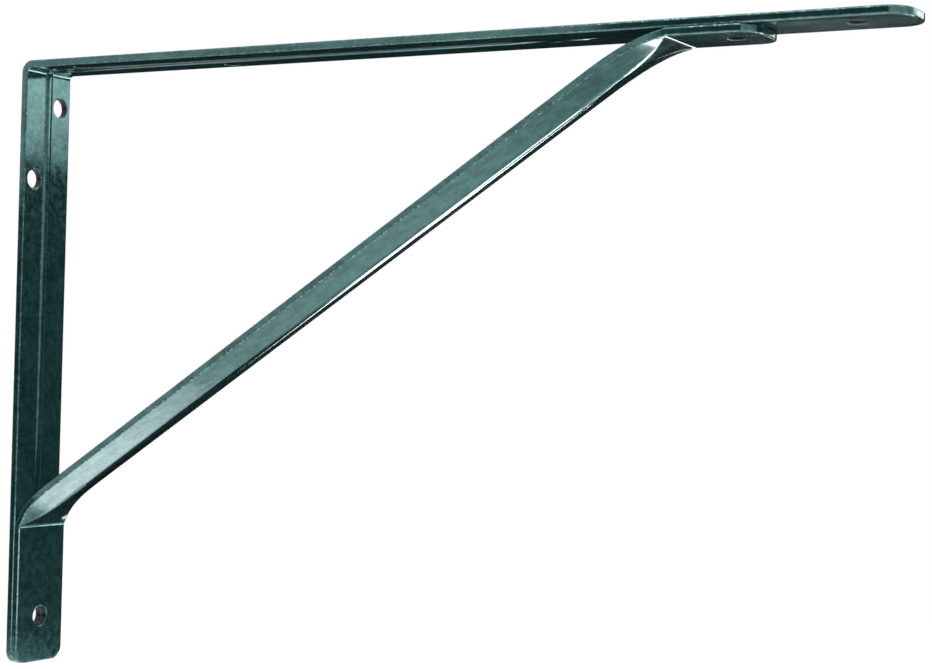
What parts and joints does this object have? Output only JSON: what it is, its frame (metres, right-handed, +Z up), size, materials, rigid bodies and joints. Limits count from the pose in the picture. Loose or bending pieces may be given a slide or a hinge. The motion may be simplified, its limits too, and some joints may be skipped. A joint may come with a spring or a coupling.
{
  "type": "shelf bracket",
  "caption": "Braced shelf bracket of painted steel: a bent strip with a long arm and a shorter leg, held square by a folded diagonal brace with flat tabs.",
  "frame": {"origin": "centre of the lower wall hole on the wall face", "axes": "+X out from the wall along the arm, +Z up to the shelf face, Y across the strip's width"},
  "size_m": [0.5, 0.036, 0.33],
  "materials": {
    "painted_steel": "semi-gloss dark teal green enamel"
  },
  "bodies": {
    "root": {"angle_strip": "painted_steel", "brace": "painted_steel"}
  },
  "joints": []
}
